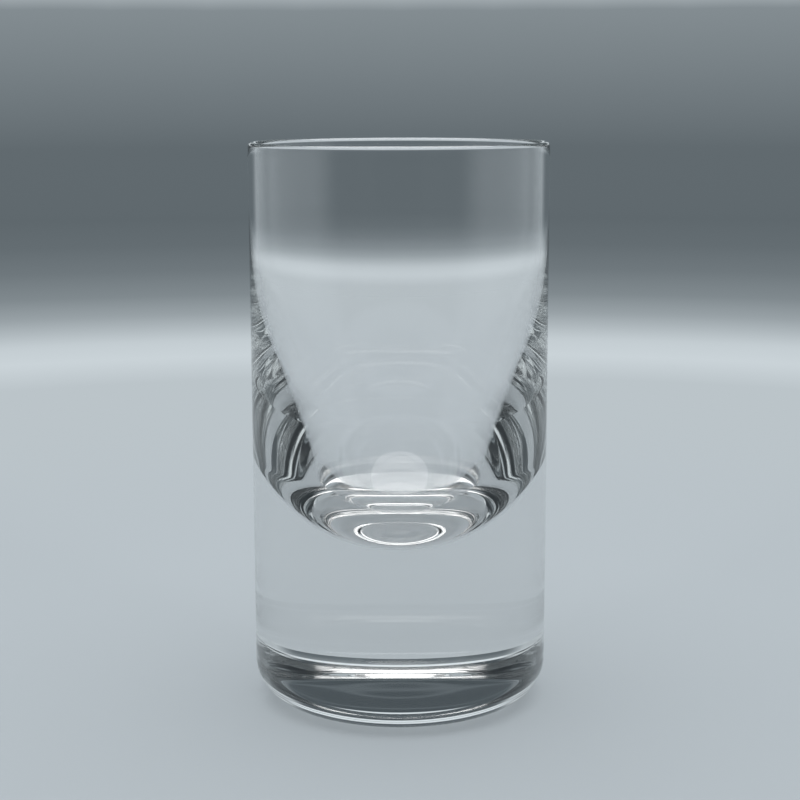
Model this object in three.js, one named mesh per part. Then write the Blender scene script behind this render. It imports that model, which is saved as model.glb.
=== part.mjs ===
// Liqueur glass: one piece of clear glass, a straight cylinder outside with a heavy solid base.
// Millimetres, +Z up. The origin is the centre of the standing ring, at the height of the surface
// that the glass stands on.
import * as THREE from 'three';

// Driving dimensions
const outerDiameter = 45;
const height = 85.1;
// Wall at the drinking rim, rounded over in a half circle.
const rimWall = 1.2;
// The inner wall runs straight down from the rim this far, then starts to thicken.
const straightWallDepth = 10.8;
// Lowest point of the bowl above the standing surface.
const bowlFloorHeight = 24.6;
// The heel is where the bowl's round floor turns up into the tapered wall.
const heelRise = 11.4;
const heelWall = 7.9;
// Lean of the inner wall at the heel, from upright.
const heelLean = THREE.MathUtils.degToRad(16.5);
// Outer corner between the side and the underside.
const baseCornerRadius = 5.9;
// Flat ring that the glass stands on, and the shallow recess inside it.
const standingRingWidth = 1.2;
const recessDepth = 2.4;

// Shape of the curves: 0 is straight, 1 is as full as the stretch allows.
const floorFullness = 0.62;
const heelFullness = 0.33;
const taperFullnessBelow = 0.32;
const taperFullnessAbove = 0.49;
// Power of the recess curve: 2 is a plain dome, higher is flatter in the middle.
const recessFlatness = 4;

// Fineness
const segmentsAround = 80;
const recessSteps = 10;
const cornerSteps = 9;
const rimSteps = 8;
const taperSteps = 15;
const floorSteps = 16;

const outerRadius = outerDiameter / 2;
const innerRadius = outerRadius - rimWall;
const rimRadius = rimWall / 2;
const heelRadius = outerRadius - heelWall;
const heelHeight = bowlFloorHeight + heelRise;
const taperTopHeight = height - straightWallDepth;
const cornerCentre = outerRadius - baseCornerRadius;
const recessRadius = cornerCentre - standingRingWidth;

function point(radius, z) {
  return new THREE.Vector2(radius, z);
}

// Recess in the underside, from its middle out to the standing ring.
function recess() {
  const points = [];
  for (let step = 0; step <= recessSteps; step += 1) {
    const share = Math.sin((step / recessSteps) * (Math.PI / 2));
    points.push(point(recessRadius * share, recessDepth * (1 - share ** recessFlatness)));
  }
  return points;
}

// Standing ring and the quarter circle up to the side.
function baseCorner() {
  const arc = new THREE.EllipseCurve(
    cornerCentre, baseCornerRadius,
    baseCornerRadius, baseCornerRadius,
    -Math.PI / 2, 0,
  );
  return arc.getPoints(cornerSteps);
}

// Half circle over the rim, from the outside to the inside.
function rim() {
  const arc = new THREE.EllipseCurve(
    outerRadius - rimRadius, height - rimRadius,
    rimRadius, rimRadius,
    0, Math.PI,
  );
  return arc.getPoints(rimSteps);
}

// Inner wall from the foot of the straight stretch down to the heel.
function taper() {
  const rise = taperTopHeight - heelHeight;
  const below = rise * taperFullnessBelow;
  const curve = new THREE.CubicBezierCurve(
    point(innerRadius, taperTopHeight),
    point(innerRadius, taperTopHeight - rise * taperFullnessAbove),
    point(heelRadius + below * Math.sin(heelLean), heelHeight + below * Math.cos(heelLean)),
    point(heelRadius, heelHeight),
  );
  return curve.getPoints(taperSteps);
}

// Round floor of the bowl, from the heel in to the axis.
function bowlFloor() {
  const tuck = heelRise * heelFullness;
  const curve = new THREE.CubicBezierCurve(
    point(heelRadius, heelHeight),
    point(heelRadius - tuck * Math.sin(heelLean), heelHeight - tuck * Math.cos(heelLean)),
    point(heelRadius * floorFullness, bowlFloorHeight),
    point(0, bowlFloorHeight),
  );
  return curve.getPoints(floorSteps);
}

// Stretches that meet in a point keep it once.
function joined(stretches) {
  const points = [];
  for (const stretch of stretches) {
    for (const next of stretch) {
      const last = points.at(-1);
      if (!last || last.distanceTo(next) > 1e-6) {
        points.push(next);
      }
    }
  }
  return points;
}

// The section runs once round the glass, from the axis underneath to the axis in the bowl.
function glassGeometry() {
  const section = joined([recess(), baseCorner(), rim(), taper(), bowlFloor()]);
  const geometry = new THREE.LatheGeometry(section, segmentsAround);
  geometry.rotateX(Math.PI / 2);
  return geometry;
}

const clearGlass = new THREE.MeshStandardMaterial({
  name: 'clear_glass',
  color: 0xe4ecee,
  roughness: 0.03,
  metalness: 0,
  transparent: true,
  opacity: 0.35,
});

const glassBody = new THREE.Mesh(glassGeometry(), clearGlass);
glassBody.name = 'glass_body';

const liqueurGlass = new THREE.Group();
liqueurGlass.add(glassBody);

export default liqueurGlass;
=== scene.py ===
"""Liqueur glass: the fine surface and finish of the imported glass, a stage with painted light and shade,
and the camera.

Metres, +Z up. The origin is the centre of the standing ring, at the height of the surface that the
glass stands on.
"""
import math

import bpy
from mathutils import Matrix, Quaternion, Vector


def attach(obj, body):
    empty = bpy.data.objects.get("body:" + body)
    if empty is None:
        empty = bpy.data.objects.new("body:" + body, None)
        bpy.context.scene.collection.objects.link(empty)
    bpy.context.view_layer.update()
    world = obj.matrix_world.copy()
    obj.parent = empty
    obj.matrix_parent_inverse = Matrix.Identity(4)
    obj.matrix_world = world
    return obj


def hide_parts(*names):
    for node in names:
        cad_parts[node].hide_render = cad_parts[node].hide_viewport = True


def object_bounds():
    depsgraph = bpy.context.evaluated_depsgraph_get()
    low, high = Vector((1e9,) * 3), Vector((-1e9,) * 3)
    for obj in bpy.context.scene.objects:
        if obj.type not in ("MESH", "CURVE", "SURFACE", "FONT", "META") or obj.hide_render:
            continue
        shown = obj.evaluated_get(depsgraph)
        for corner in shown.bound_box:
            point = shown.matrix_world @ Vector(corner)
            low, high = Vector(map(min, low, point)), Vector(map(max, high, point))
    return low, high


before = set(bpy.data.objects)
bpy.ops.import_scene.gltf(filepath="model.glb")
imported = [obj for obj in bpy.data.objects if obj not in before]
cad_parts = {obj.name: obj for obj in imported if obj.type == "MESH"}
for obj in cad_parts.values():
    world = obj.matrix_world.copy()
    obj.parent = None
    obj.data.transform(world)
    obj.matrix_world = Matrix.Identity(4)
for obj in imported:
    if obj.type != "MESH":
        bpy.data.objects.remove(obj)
cad_low, cad_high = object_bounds()

bl_info = {
    "name": "Liqueur Glass",
    "version": (1, 0, 0),
    "blender": (4, 5, 0),
    "location": "3D View > Sidebar > Liqueur Glass",
    "description": "Makes a straight-sided liqueur glass with a heavy base and sets its stage",
    "category": "Add Mesh",
}

MM = 0.001
# Share of the way to the corner that makes a cubic curve follow a quarter circle.
QUARTER_HANDLE = 4 / 3 * (math.sqrt(2) - 1)
# Points closer than this are one point.
WELD = 1e-6

# Shape of the bowl's curves: 0 is straight, 1 is as full as the stretch allows.
FLOOR_FULLNESS = 0.62
HEEL_FULLNESS = 0.33
TAPER_FULLNESS_BELOW = 0.32
TAPER_FULLNESS_ABOVE = 0.49
# The recess stays flat this share of the way out, then falls to the standing ring.
RECESS_FLAT_SHARE = 0.52
# Share of the way in from the ring over which the recess follows its slope at the ring.
RECESS_SLOPE_SHARE = 0.3
# Slope of the recess at the ring, in recess depths per recess radius.
RECESS_STEEPNESS = 4

# Steps along each stretch of the glass's section.
RECESS_STEPS = 40
RING_STEPS = 4
CORNER_STEPS = 32
SIDE_STEPS = 40
RIM_STEPS = 10
INNER_WALL_STEPS = 8
TAPER_STEPS = 64
FLOOR_STEPS = 48

# How often the waves repeat per metre along X, Y and Z, so that they run long up the wall.
WAVE_SCALE = (140, 140, 18)
WAVE_DETAIL = 1.5
# On the outside, the waves have this share of the height that they have in the bowl.
OUTSIDE_WAVES = 0.25
# Depths into the rim wall, as shares of it, between which the one height turns into the other.
WAVES_CHANGE = (0.5, 0.9)
# Scratches on the standing ring, per metre, and how much of the pattern is scratched.
SCRATCH_SCALE = 2600
SCRATCH_DETAIL = 3
SCRATCHED = (0.42, 0.62)
# Wear is full up to the first height above what the glass stands on, and ends at the second.
WEAR_HEIGHTS = (0.05 * MM, 0.25 * MM)


def tone(red, green, blue):
    """Linear colour of a screen colour given from 0 to 255."""
    def linear(value):
        share = value / 255
        if share <= 0.04045:
            return share / 12.92
        return ((share + 0.055) / 1.055) ** 2.4

    return (linear(red), linear(green), linear(blue))


class GlassSizes(bpy.types.PropertyGroup):
    outer_diameter: bpy.props.FloatProperty(
        name="Outer Diameter",
        description="Across the straight outer wall",
        default=cad_high.x - cad_low.x,
        unit="LENGTH",
    )
    height: bpy.props.FloatProperty(
        name="Height",
        description="From the standing ring to the top of the drinking rim",
        default=cad_high.z - cad_low.z,
        unit="LENGTH",
    )
    rim_wall: bpy.props.FloatProperty(
        name="Rim Wall",
        description="Wall at the drinking rim, which is rounded over in a half circle",
        default=1.2 * MM,
        unit="LENGTH",
        precision=5,
    )
    straight_wall_depth: bpy.props.FloatProperty(
        name="Straight Wall Depth",
        description="How far the inner wall runs straight down from the rim",
        default=10.8 * MM,
        unit="LENGTH",
    )
    bowl_floor_height: bpy.props.FloatProperty(
        name="Bowl Floor Height",
        description="Lowest point of the bowl above the standing surface",
        default=24.6 * MM,
        unit="LENGTH",
    )
    heel_rise: bpy.props.FloatProperty(
        name="Heel Rise",
        description="Height of the heel, where the round floor meets the tapered wall, above the bowl floor",
        default=11.4 * MM,
        unit="LENGTH",
    )
    heel_wall: bpy.props.FloatProperty(
        name="Heel Wall",
        description="Wall at the heel",
        default=7.9 * MM,
        unit="LENGTH",
    )
    heel_lean: bpy.props.FloatProperty(
        name="Heel Lean",
        description="Lean of the inner wall at the heel, from upright",
        default=math.radians(16.5),
        subtype="ANGLE",
    )
    base_corner_radius: bpy.props.FloatProperty(
        name="Base Corner Radius",
        description="Outer corner between the side and the underside",
        default=5.9 * MM,
        unit="LENGTH",
    )
    standing_ring_width: bpy.props.FloatProperty(
        name="Standing Ring Width",
        description="Flat ring that the glass stands on",
        default=1.2 * MM,
        unit="LENGTH",
        precision=5,
    )
    recess_depth: bpy.props.FloatProperty(
        name="Recess Depth",
        description="Depth of the shallow recess in the underside",
        default=2.4 * MM,
        unit="LENGTH",
        precision=5,
    )
    steps_around: bpy.props.IntProperty(
        name="Steps Around",
        description="Steps of the turned surface round the axis",
        default=256,
        min=32,
    )


class GlassFinish(bpy.types.PropertyGroup):
    ior: bpy.props.FloatProperty(
        name="Index of Refraction",
        description="How strongly the glass bends light",
        default=1.52,
    )
    tint: bpy.props.FloatVectorProperty(
        name="Tint",
        description="Colour that thick glass keeps",
        default=(0.49, 0.51, 0.50),
        subtype="COLOR",
        size=3,
    )
    tint_density: bpy.props.FloatProperty(
        name="Tint Density",
        description="How strongly the glass takes the light that its tint lacks, per metre",
        default=6.0,
    )
    ring_roughness: bpy.props.FloatProperty(
        name="Ring Roughness",
        description="Roughness of the wear on the standing ring",
        default=0.3,
        subtype="FACTOR",
    )
    wave_height: bpy.props.FloatProperty(
        name="Wave Height",
        description="Height of the soft waves that fire polishing leaves",
        default=0.004 * MM,
        unit="LENGTH",
        precision=6,
    )


class StageLook(bpy.types.PropertyGroup):
    wall_radius: bpy.props.FloatProperty(
        name="Wall Radius",
        description="Radius of the round backdrop about the axis of the glass",
        default=1.2,
        unit="LENGTH",
    )
    sweep_radius: bpy.props.FloatProperty(
        name="Sweep Radius",
        description="Radius of the curve from the floor up to the wall",
        default=0.12,
        unit="LENGTH",
    )
    wall_height: bpy.props.FloatProperty(
        name="Wall Height",
        description="Height of the backdrop, just above the lamp",
        default=1.45,
        unit="LENGTH",
    )
    floor_drop: bpy.props.FloatProperty(
        name="Floor Drop",
        description="Air between the standing ring and the floor, which lets light in under the base",
        default=0.1 * MM,
        unit="LENGTH",
        precision=6,
    )
    floor_colour: bpy.props.FloatVectorProperty(
        name="Floor Colour",
        description="Colour of the floor near the glass",
        default=tone(184, 192, 198),
        subtype="COLOR",
        size=3,
    )
    evenness: bpy.props.FloatProperty(
        name="Evenness",
        description="Share of the floor's tone near the glass that the glass doesn't shade",
        default=0.45,
        subtype="FACTOR",
    )
    lamp_height: bpy.props.FloatProperty(
        name="Lamp Height",
        description="Height of the soft lamp overhead",
        default=1.4,
        unit="LENGTH",
    )
    lamp_diameter: bpy.props.FloatProperty(
        name="Lamp Diameter",
        description="Diameter of the soft lamp",
        default=2.05,
        unit="LENGTH",
    )
    lamp_setback: bpy.props.FloatProperty(
        name="Lamp Setback",
        description="How far behind the glass the middle of the lamp hangs",
        default=0.09,
        unit="LENGTH",
    )
    lamp_brightness: bpy.props.FloatProperty(
        name="Lamp Brightness",
        description="Brightness of the lamp's face, where 1 is white",
        default=2.5,
    )
    light_bounces: bpy.props.IntProperty(
        name="Light Bounces",
        description="How often light may bend or turn back in the thick base before it is given up",
        default=40,
        min=8,
    )
    camera_distance: bpy.props.FloatProperty(
        name="Camera Distance",
        description="Level distance from the axis of the glass to the camera",
        default=0.26091,
        unit="LENGTH",
    )
    camera_height: bpy.props.FloatProperty(
        name="Camera Height",
        description="Height of the camera above the standing surface",
        default=0.092753,
        unit="LENGTH",
    )
    camera_pitch: bpy.props.FloatProperty(
        name="Camera Pitch",
        description="How far the camera looks down",
        default=math.radians(10.166),
        subtype="ANGLE",
    )
    camera_roll: bpy.props.FloatProperty(
        name="Camera Roll",
        description="How far the camera is turned about its own line of sight",
        default=math.radians(-0.14),
        subtype="ANGLE",
    )
    camera_lens: bpy.props.FloatProperty(
        name="Camera Lens",
        description="Focal length in millimetres for a sensor 36 mm wide",
        default=77.96,
    )
    camera_shift: bpy.props.FloatProperty(
        name="Camera Shift",
        description="How far the picture is moved across, in picture widths",
        default=0.00065,
        precision=5,
    )
    surround_colour: bpy.props.FloatVectorProperty(
        name="Surround Colour",
        description="Colour of the room beyond the backdrop and the lamp",
        default=tone(40, 44, 47),
        subtype="COLOR",
        size=3,
    )


class Value:
    """A node socket that takes part in sums: each operator adds its Math node."""

    def __init__(self, look, socket):
        self.look = look
        self.socket = socket

    def math(self, operation, first, second=None):
        inputs = {0: first}
        if second is not None:
            inputs[1] = second
        return self.look.node("ShaderNodeMath", {"operation": operation}, inputs)[0]

    def __add__(self, other):
        return self.math("ADD", self, other)

    def __radd__(self, other):
        return self.math("ADD", other, self)

    def __sub__(self, other):
        return self.math("SUBTRACT", self, other)

    def __rsub__(self, other):
        return self.math("SUBTRACT", other, self)

    def __mul__(self, other):
        return self.math("MULTIPLY", self, other)

    def __rmul__(self, other):
        return self.math("MULTIPLY", other, self)

    def __truediv__(self, other):
        return self.math("DIVIDE", self, other)

    def __rtruediv__(self, other):
        return self.math("DIVIDE", other, self)

    def between(self, low, high):
        """0 below low, 1 above high and a smooth rise from one to the other."""
        return self.look.node(
            "ShaderNodeMapRange",
            {"interpolation_type": "SMOOTHSTEP"},
            {"Value": self, "From Min": low, "From Max": high},
        )[0]


class Sockets:
    """A node's output sockets, by name or number, as values."""

    def __init__(self, look, node):
        self.look = look
        self.node = node

    def __getitem__(self, key):
        return Value(self.look, self.node.outputs[key])


class Look:
    """A new material and the one way in which its nodes are added."""

    def __init__(self, name):
        self.material = bpy.data.materials.new(name)
        self.material.use_nodes = True
        self.tree = self.material.node_tree
        self.tree.nodes.clear()

    def node(self, kind, settings=None, inputs=None):
        """Adds a node of that kind. Settings are set first, then each input's value or link."""
        node = self.tree.nodes.new(kind)
        for key, setting in (settings or {}).items():
            if key == "stops":
                self.set_stops(node.color_ramp, setting)
            else:
                setattr(node, key, setting)
        for key, given in (inputs or {}).items():
            if isinstance(given, Value):
                self.tree.links.new(given.socket, node.inputs[key])
            else:
                node.inputs[key].default_value = given
        return Sockets(self, node)

    def set_stops(self, ramp, stops):
        """Stops are pairs of a place from 0 to 1 and a colour."""
        while len(ramp.elements) > 1:
            ramp.elements.remove(ramp.elements[-1])
        for index, (place, colour) in enumerate(stops):
            element = ramp.elements[0] if index == 0 else ramp.elements.new(place)
            element.position = place
            element.color = (*colour, 1)

    def place(self):
        """X, Y and Z of the shaded point on the object, in metres."""
        coordinates = self.node("ShaderNodeTexCoord")["Object"]
        parts = self.node("ShaderNodeSeparateXYZ", None, {0: coordinates})
        return parts[0], parts[1], parts[2]

    def root(self, value):
        return self.node("ShaderNodeMath", {"operation": "SQRT"}, {0: value})[0]

    def mix_colour(self, share, first, second):
        """The first colour where share is 0 and the second where it is 1."""
        settings = {"data_type": "RGBA"}
        return self.node("ShaderNodeMix", settings, {0: share, 6: first, 7: second})[2]

    def finish(self, surface, volume=None):
        inputs = {"Surface": surface}
        if volume is not None:
            inputs["Volume"] = volume
        self.node("ShaderNodeOutputMaterial", None, inputs)
        return self.material


# Turned shapes

class Stretch:
    """One cubic curve of a section, from start to end, as (radius, height) pairs."""

    def __init__(self, start, leave, arrive, end, steps):
        self.start = start
        self.leave = leave
        self.arrive = arrive
        self.end = end
        self.steps = steps


def straight(start, end, steps):
    def along(share):
        return (
            start[0] + (end[0] - start[0]) * share,
            start[1] + (end[1] - start[1]) * share,
        )

    return Stretch(start, along(1 / 3), along(2 / 3), end, steps)


def quarter(start, corner, end, steps):
    """Quarter circle that leaves start and reaches end along the two sides of the corner."""
    def towards(point):
        return (
            point[0] + (corner[0] - point[0]) * QUARTER_HANDLE,
            point[1] + (corner[1] - point[1]) * QUARTER_HANDLE,
        )

    return Stretch(start, towards(start), towards(end), end, steps)


def add_stretch(stretch):
    """A curve object with the two points of a stretch, in the plane of X and Z."""
    bpy.ops.curve.primitive_bezier_curve_add(location=(0, 0, 0))
    curve = bpy.context.object
    spline = curve.data.splines[0]
    spline.resolution_u = stretch.steps
    first, last = spline.bezier_points
    for point in (first, last):
        point.handle_left_type = "FREE"
        point.handle_right_type = "FREE"
    first.co = (stretch.start[0], 0, stretch.start[1])
    first.handle_left = first.co
    first.handle_right = (stretch.leave[0], 0, stretch.leave[1])
    last.handle_left = (stretch.arrive[0], 0, stretch.arrive[1])
    last.co = (stretch.end[0], 0, stretch.end[1])
    last.handle_right = last.co
    return curve


def turned(name, stretches, steps_around):
    """Turns a section of stretches once round the Z axis into a smooth mesh."""
    curves = []
    for stretch in stretches:
        bpy.ops.object.select_all(action="DESELECT")
        curves.append(add_stretch(stretch))
    for curve in curves:
        curve.select_set(True)
    bpy.ops.object.join()
    bpy.ops.object.convert(target="MESH")
    piece = bpy.context.object
    piece.name = name
    piece.data.name = name
    bpy.ops.object.mode_set(mode="EDIT")
    bpy.ops.mesh.select_all(action="SELECT")
    bpy.ops.mesh.remove_doubles(threshold=WELD)
    bpy.ops.mesh.spin(
        steps=steps_around,
        angle=math.tau,
        center=(0, 0, 0),
        axis=(0, 0, 1),
    )
    bpy.ops.mesh.select_all(action="SELECT")
    bpy.ops.mesh.remove_doubles(threshold=WELD)
    bpy.ops.mesh.normals_make_consistent(inside=False)
    bpy.ops.object.mode_set(mode="OBJECT")
    bpy.ops.object.shade_smooth()
    bpy.ops.object.select_all(action="DESELECT")
    return piece


# The glass

def underside(sizes):
    """Recess from its middle out, the standing ring and the outer corner."""
    radius = sizes.outer_diameter / 2
    corner_centre = radius - sizes.base_corner_radius
    ring_start = corner_centre - sizes.standing_ring_width
    depth = sizes.recess_depth
    slope = RECESS_STEEPNESS * depth / ring_start
    reach = RECESS_SLOPE_SHARE * ring_start
    recess = Stretch(
        (0, depth),
        (RECESS_FLAT_SHARE * ring_start, depth),
        (ring_start - reach, reach * slope),
        (ring_start, 0),
        RECESS_STEPS,
    )
    ring = straight((ring_start, 0), (corner_centre, 0), RING_STEPS)
    corner = quarter(
        (corner_centre, 0),
        (radius, 0),
        (radius, sizes.base_corner_radius),
        CORNER_STEPS,
    )
    return [recess, ring, corner]


def outside(sizes):
    """Straight side and the rim that is rounded over to the inside."""
    radius = sizes.outer_diameter / 2
    round_over = sizes.rim_wall / 2
    shoulder = sizes.height - round_over
    crown = (radius - round_over, sizes.height)
    inner = radius - sizes.rim_wall
    return [
        straight((radius, sizes.base_corner_radius), (radius, shoulder), SIDE_STEPS),
        quarter((radius, shoulder), (radius, sizes.height), crown, RIM_STEPS),
        quarter(crown, (inner, sizes.height), (inner, shoulder), RIM_STEPS),
    ]


def bowl(sizes):
    """Straight inner wall, the taper down to the heel and the round floor."""
    inner = sizes.outer_diameter / 2 - sizes.rim_wall
    shoulder = sizes.height - sizes.rim_wall / 2
    taper_top = sizes.height - sizes.straight_wall_depth
    heel = sizes.outer_diameter / 2 - sizes.heel_wall
    heel_height = sizes.bowl_floor_height + sizes.heel_rise
    rise = taper_top - heel_height
    lean_out = math.sin(sizes.heel_lean)
    lean_up = math.cos(sizes.heel_lean)
    above = TAPER_FULLNESS_ABOVE * rise
    below = TAPER_FULLNESS_BELOW * rise
    tuck = HEEL_FULLNESS * sizes.heel_rise
    taper = Stretch(
        (inner, taper_top),
        (inner, taper_top - above),
        (heel + below * lean_out, heel_height + below * lean_up),
        (heel, heel_height),
        TAPER_STEPS,
    )
    floor = Stretch(
        (heel, heel_height),
        (heel - tuck * lean_out, heel_height - tuck * lean_up),
        (FLOOR_FULLNESS * heel, sizes.bowl_floor_height),
        (0, sizes.bowl_floor_height),
        FLOOR_STEPS,
    )
    wall = straight((inner, shoulder), (inner, taper_top), INNER_WALL_STEPS)
    return [wall, taper, floor]


def clear_glass(sizes, finish):
    """Clear glass: polished all over, with soft waves, wear on the standing ring and a faint tint."""
    look = Look("clear_glass")
    x, y, z = look.place()
    radius = look.root(x * x + y * y)
    coordinates = look.node("ShaderNodeTexCoord")["Object"]
    stretched = look.node(
        "ShaderNodeMapping", None, {"Vector": coordinates, "Scale": WAVE_SCALE}
    )[0]
    waves = look.node(
        "ShaderNodeTexNoise", None, {"Vector": stretched, "Scale": 1, "Detail": WAVE_DETAIL}
    )["Fac"]
    scratches = look.node(
        "ShaderNodeTexNoise",
        None,
        {"Vector": coordinates, "Scale": SCRATCH_SCALE, "Detail": SCRATCH_DETAIL},
    )["Fac"]
    # Wear only where the glass meets what it stands on.
    near_surface = 1 - z.between(*WEAR_HEIGHTS)
    wear = near_surface * scratches.between(*SCRATCHED)
    roughness = wear * finish.ring_roughness
    outside_from, inside_from = WAVES_CHANGE
    inside = 1 - radius.between(
        sizes.outer_diameter / 2 - inside_from * sizes.rim_wall,
        sizes.outer_diameter / 2 - outside_from * sizes.rim_wall,
    )
    wave_share = OUTSIDE_WAVES + inside * (1 - OUTSIDE_WAVES)
    bump = look.node(
        "ShaderNodeBump",
        None,
        {"Height": waves * wave_share, "Distance": finish.wave_height, "Strength": 1},
    )[0]
    surface = look.node(
        "ShaderNodeBsdfPrincipled",
        {"distribution": "MULTI_GGX"},
        {
            "Base Color": (1, 1, 1, 1),
            "Roughness": roughness,
            "IOR": finish.ior,
            "Transmission Weight": 1,
            "Normal": bump,
        },
    )[0]
    volume = look.node(
        "ShaderNodeVolumeAbsorption",
        None,
        {"Color": (*finish.tint, 1), "Density": finish.tint_density},
    )[0]
    return look.finish(surface, volume)


def make_glass(sizes, finish):
    section = underside(sizes) + outside(sizes) + bowl(sizes)
    piece = turned("glass", section, sizes.steps_around)
    piece.data.materials.clear()
    piece.data.materials.append(clear_glass(sizes, finish))
    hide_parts("glass_body")
    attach(piece, "root")
    return piece


# The stage

BACKDROP_STEPS_AROUND = 96
BACKDROP_FLOOR_STEPS = 24
BACKDROP_SWEEP_STEPS = 16
BACKDROP_WALL_STEPS = 8
# Up to the first distance from the axis, the paper takes the shade that its evenness leaves it. Past the
# second it takes none.
SHADE_REACH = (0.10, 0.26)
# How the paper's red, green and blue depart from its grey level.
PAPER_CAST = (-8, 1, 6)
SENSOR_WIDTH = 36
CLIP_NEAR = 0.01
CLIP_FAR = 10

# Tones of the backdrop: pairs of a place in metres and a grey level from 0 to 255. A place below 0 is on
# the floor, that far short of the wall, and one above 0 is that far up the wall. The levels are painted
# light and shade that the backdrop gives off itself: falloff of light over the floor and the wall, bright
# bands that glow in place of lamps and dark fields of painted shade, which the glass shows as painted
# reflections.

# Behind the glass: painted falloff from a bright floor to a dark foot of the wall, and higher up painted
# bright bands that glow in place of lamps between dark fields of painted shade.
BACK_LIGHT_AND_SHADE = (
    (-0.90, 195),
    (-0.85, 210),
    (-0.81, 204),
    (-0.77, 182),
    (-0.73, 160),
    (-0.66, 136),
    (-0.55, 119),
    (-0.40, 108),
    (-0.18, 103),
    (0.02, 105),
    (0.09, 122),
    (0.16, 140),
    (0.19, 245),
    (0.25, 245),
    (0.28, 100),
    (0.31, 75),
    (0.40, 75),
    (0.43, 105),
    (0.47, 80),
    (0.85, 80),
    (0.93, 240),
    (1.05, 240),
    (1.16, 200),
)
# Low down on either side of the glass.
LOW_SIDE_TONES = (
    (-0.90, 192),
    (-0.85, 206),
    (-0.76, 182),
    (-0.40, 178),
    (0.00, 190),
    (0.14, 198),
)
# Beside the glass, towards the back: above the low part, painted bright bands that glow in place of lamps
# between dark fields of painted shade, near black high up.
SIDE_LIGHT_AND_SHADE = LOW_SIDE_TONES + (
    (0.18, 240),
    (0.21, 40),
    (0.26, 40),
    (0.29, 250),
    (0.44, 235),
    (0.48, 133),
    (0.53, 133),
    (0.60, 196),
    (0.68, 90),
    (0.76, 38),
    (0.85, 14),
    (1.25, 14),
    (1.42, 250),
)
# Beside the glass, towards the front: above the low part, painted bright bands that glow in place of lamps
# between dark fields of painted shade, near black high up.
NEAR_SIDE_LIGHT_AND_SHADE = LOW_SIDE_TONES + (
    (0.19, 250),
    (0.27, 250),
    (0.33, 14),
    (0.46, 14),
    (0.53, 50),
    (0.60, 160),
    (0.68, 235),
    (0.76, 70),
    (0.85, 14),
    (1.30, 14),
    (1.42, 250),
)
# In front of the glass, round the camera: painted shade that darkens the floor and the wall towards the
# camera, a few painted bright bands that glow in place of lamps, and near black above them.
FRONT_LIGHT_AND_SHADE = (
    (-0.90, 192),
    (-0.85, 186),
    (-0.78, 152),
    (-0.60, 124),
    (0.00, 96),
    (0.10, 72),
    (0.18, 60),
    (0.20, 180),
    (0.26, 180),
    (0.30, 90),
    (0.36, 90),
    (0.39, 150),
    (0.43, 90),
    (0.48, 22),
    (1.40, 22),
)
# From the back to the front, each set of tones takes over from the last between two facings: it holds
# below the first, and the last set holds above the second. Facing is 1 behind the glass, 0 beside it
# and -1 in front of it.
TAKEOVERS = (
    (SIDE_LIGHT_AND_SHADE, 0.707, 0.866),
    (NEAR_SIDE_LIGHT_AND_SHADE, 0.242, 0.407),
    (FRONT_LIGHT_AND_SHADE, -0.643, -0.375),
)


def painted_light_colour(level):
    """Linear colour of the backdrop's painted light and shade at a grey level from 0 to 255, with the
    paper's cast.
    """
    return tone(*(min(max(level + cast, 0), 255) for cast in PAPER_CAST))


def backdrop_light_and_shade(look, stage):
    """Painted light and shade of the backdrop, by the way out along it and by its side of the glass, and the
    radius.
    """
    x, y, z = look.place()
    radius = look.root(x * x + y * y)
    length = stage.wall_radius + stage.wall_height
    way = (radius + z) / length
    facing = y / radius

    def ramp(tones):
        stops = [
            ((stage.wall_radius + place) / length, painted_light_colour(level))
            for place, level in tones
        ]
        return look.node("ShaderNodeValToRGB", {"stops": stops}, {0: way})[0]

    colour = ramp(BACK_LIGHT_AND_SHADE)
    for tones, holds_below, last_above in TAKEOVERS:
        share = 1 - facing.between(holds_below, last_above)
        colour = look.mix_colour(share, colour, ramp(tones))
    return colour, radius


def backdrop_paper_and_painted_light(stage):
    """Matt paper near the glass takes part of the glass's shadow; the rest of its tone there, and all of it
    farther out, is a glow of the backdrop's painted light and shade.
    """
    look = Look("backdrop_paper_and_painted_light")
    colour, radius = backdrop_light_and_shade(look, stage)
    shaded = look.node(
        "ShaderNodeBsdfDiffuse", None, {"Color": (*stage.floor_colour, 1)}
    )[0]
    # The glow gives off the backdrop's painted light and shade.
    lit = look.node("ShaderNodeEmission", None, {"Color": colour, "Strength": 1})[0]
    even = stage.evenness + (1 - stage.evenness) * radius.between(*SHADE_REACH)
    surface = look.node("ShaderNodeMixShader", None, {0: even, 1: shaded, 2: lit})[0]
    return look.finish(surface)


def make_backdrop(stage):
    foot = stage.wall_radius - stage.sweep_radius
    low = -stage.floor_drop
    rise = low + stage.sweep_radius
    section = [
        straight((0, low), (foot, low), BACKDROP_FLOOR_STEPS),
        quarter(
            (foot, low),
            (stage.wall_radius, low),
            (stage.wall_radius, rise),
            BACKDROP_SWEEP_STEPS,
        ),
        straight(
            (stage.wall_radius, rise),
            (stage.wall_radius, stage.wall_height),
            BACKDROP_WALL_STEPS,
        ),
    ]
    backdrop = turned("backdrop", section, BACKDROP_STEPS_AROUND)
    backdrop.data.materials.clear()
    backdrop.data.materials.append(backdrop_paper_and_painted_light(stage))


def make_lamp(stage):
    bpy.ops.object.select_all(action="DESELECT")
    bpy.ops.object.light_add(type="AREA", location=(0, stage.lamp_setback, stage.lamp_height))
    lamp = bpy.context.object
    lamp.name = "soft_lamp"
    lamp.data.shape = "DISK"
    lamp.data.size = stage.lamp_diameter
    area = math.pi * (stage.lamp_diameter / 2) ** 2
    lamp.data.energy = stage.lamp_brightness * math.pi * area


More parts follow.
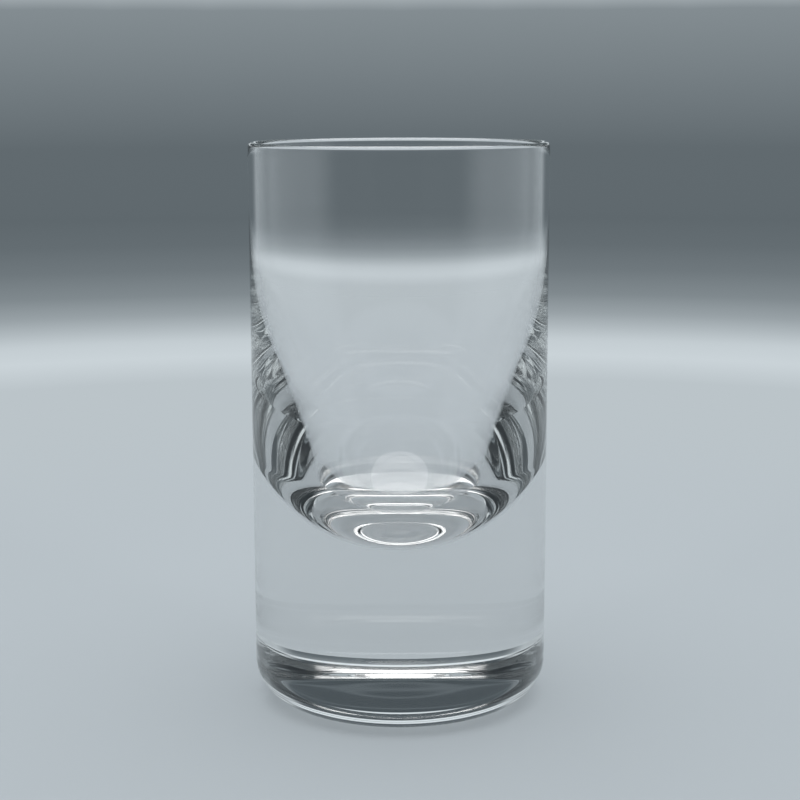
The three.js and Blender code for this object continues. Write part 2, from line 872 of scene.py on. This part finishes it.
def make_camera(stage):
    bpy.ops.object.select_all(action="DESELECT")
    bpy.ops.object.camera_add(location=(0, -stage.camera_distance, stage.camera_height))
    camera = bpy.context.object
    camera.name = "camera"
    ahead = Vector((0, math.cos(stage.camera_pitch), -math.sin(stage.camera_pitch)))
    level = ahead.to_track_quat("-Z", "Y")
    camera.rotation_mode = "QUATERNION"
    camera.rotation_quaternion = level @ Quaternion((0, 0, 1), stage.camera_roll)
    camera.data.sensor_width = SENSOR_WIDTH
    camera.data.lens = stage.camera_lens
    camera.data.shift_x = stage.camera_shift
    camera.data.clip_start = CLIP_NEAR
    camera.data.clip_end = CLIP_FAR
    bpy.context.scene.camera = camera


def make_world(stage):
    world = bpy.data.worlds.new("surround")
    world.use_nodes = True
    background = world.node_tree.nodes["Background"]
    background.inputs["Color"].default_value = (*stage.surround_colour, 1)
    bpy.context.scene.world = world


class LIQUEURGLASS_OT_glass(bpy.types.Operator):
    """Make the glass: its section turned once round the axis, in clear glass"""

    bl_idname = "liqueurglass.glass"
    bl_label = "Make Glass"

    def execute(self, context):
        make_glass(context.scene.glass_sizes, context.scene.glass_finish)
        return {"FINISHED"}


class LIQUEURGLASS_OT_stage(bpy.types.Operator):
    """Set the stage: a pale floor and round backdrop with painted light and shade, a soft lamp overhead and
    the camera
    """

    bl_idname = "liqueurglass.stage"
    bl_label = "Set Stage"

    def execute(self, context):
        stage = context.scene.stage_look
        make_camera(stage)
        make_backdrop(stage)
        make_lamp(stage)
        make_world(stage)
        context.scene.view_settings.view_transform = "Standard"
        for limit in ("max_bounces", "transmission_bounces", "glossy_bounces"):
            setattr(context.scene.cycles, limit, stage.light_bounces)
        return {"FINISHED"}


class LIQUEURGLASS_PT_maker(bpy.types.Panel):
    bl_label = "Liqueur Glass"
    bl_idname = "LIQUEURGLASS_PT_maker"
    bl_space_type = "VIEW_3D"
    bl_region_type = "UI"
    bl_category = "Liqueur Glass"

    def draw(self, context):
        layout = self.layout
        for title, group, operator in (
            ("Sizes", context.scene.glass_sizes, None),
            ("Finish", context.scene.glass_finish, LIQUEURGLASS_OT_glass),
            ("Stage", context.scene.stage_look, LIQUEURGLASS_OT_stage),
        ):
            box = layout.box()
            box.label(text=title)
            for name in group.__annotations__:
                box.prop(group, name)
            if operator:
                box.operator(operator.bl_idname)


CLASSES = (
    GlassSizes,
    GlassFinish,
    StageLook,
    LIQUEURGLASS_OT_glass,
    LIQUEURGLASS_OT_stage,
    LIQUEURGLASS_PT_maker,
)


def register():
    for cls in CLASSES:
        bpy.utils.register_class(cls)
    bpy.types.Scene.glass_sizes = bpy.props.PointerProperty(type=GlassSizes)
    bpy.types.Scene.glass_finish = bpy.props.PointerProperty(type=GlassFinish)
    bpy.types.Scene.stage_look = bpy.props.PointerProperty(type=StageLook)


def unregister():
    del bpy.types.Scene.stage_look
    del bpy.types.Scene.glass_finish
    del bpy.types.Scene.glass_sizes
    for cls in reversed(CLASSES):
        bpy.utils.unregister_class(cls)


def main():
    register()
    bpy.ops.liqueurglass.stage()
    bpy.ops.liqueurglass.glass()


if __name__ == "__main__":
    main()
